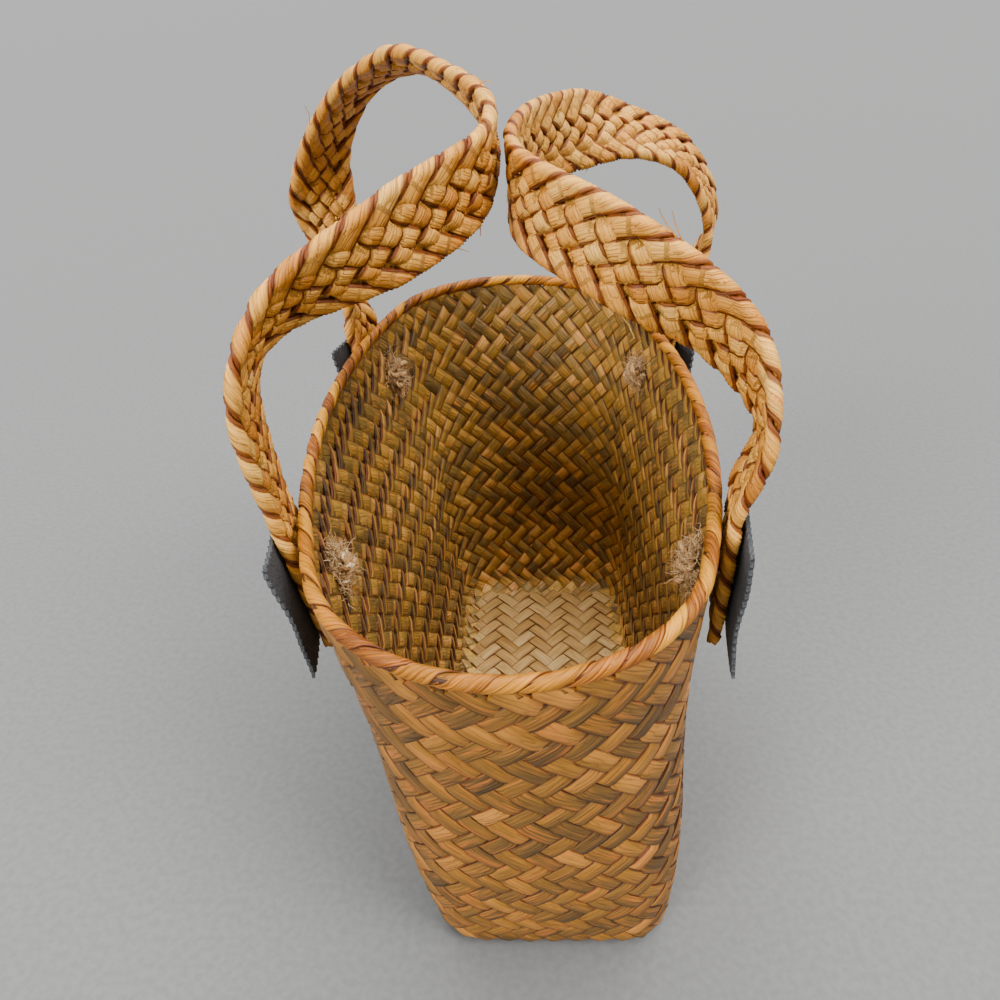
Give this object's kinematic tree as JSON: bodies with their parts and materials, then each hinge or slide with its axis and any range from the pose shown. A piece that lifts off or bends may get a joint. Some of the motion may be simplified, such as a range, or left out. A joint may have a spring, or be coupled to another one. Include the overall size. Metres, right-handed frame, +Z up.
{
  "type": "rattan handbag",
  "caption": "Plaited natural-strand handbag with a long oval mouth, a narrower flat base, a wrapped rim and flat plaited strap handles lashed under pinked patches.",
  "frame": {"origin": "centre of the bag's outline in plan, on the surface that it stands on; the base lies a little to the right of it", "axes": "+Z up, Y along the mouth, X across it from the left strap to the right strap"},
  "size_m": [0.1903, 0.297, 0.3175],
  "materials": {
    "plaited_body": "matt dried plant strands in golden brown and olive, plaited on the bias",
    "wrapped_rim": "golden dried strand wound over the edge, slight sheen",
    "plaited_strap": "amber brown dried strands, plaited flat, slight sheen",
    "patch_felt": "matt charcoal synthetic leather with a pinked edge",
    "hairy_twine": "pale hairy natural twine"
  },
  "bodies": {
    "basket": {"woven_body": "plaited_body", "rim_binding": "wrapped_rim", "left_front_lashing": "hairy_twine", "left_rear_lashing": "hairy_twine", "right_front_lashing": "hairy_twine", "right_rear_lashing": "hairy_twine"},
    "left_strap": {"left_handle": "plaited_strap", "left_front_patch": "patch_felt", "left_rear_patch": "patch_felt"},
    "right_strap": {"right_handle": "plaited_strap", "right_front_patch": "patch_felt", "right_rear_patch": "patch_felt"}
  },
  "joints": [
    {"name": "left_strap_rock", "type": "hinge", "parent": "basket", "child": "left_strap", "pos_m": [-0.06758, 0, 0.171], "axis": [0, -1, 0], "range_deg": [0, 9]},
    {"name": "right_strap_rock", "type": "hinge", "parent": "basket", "child": "right_strap", "pos_m": [0.07062, 0, 0.171], "axis": [0, 1, 0], "range_deg": [0, 9]}
  ]
}
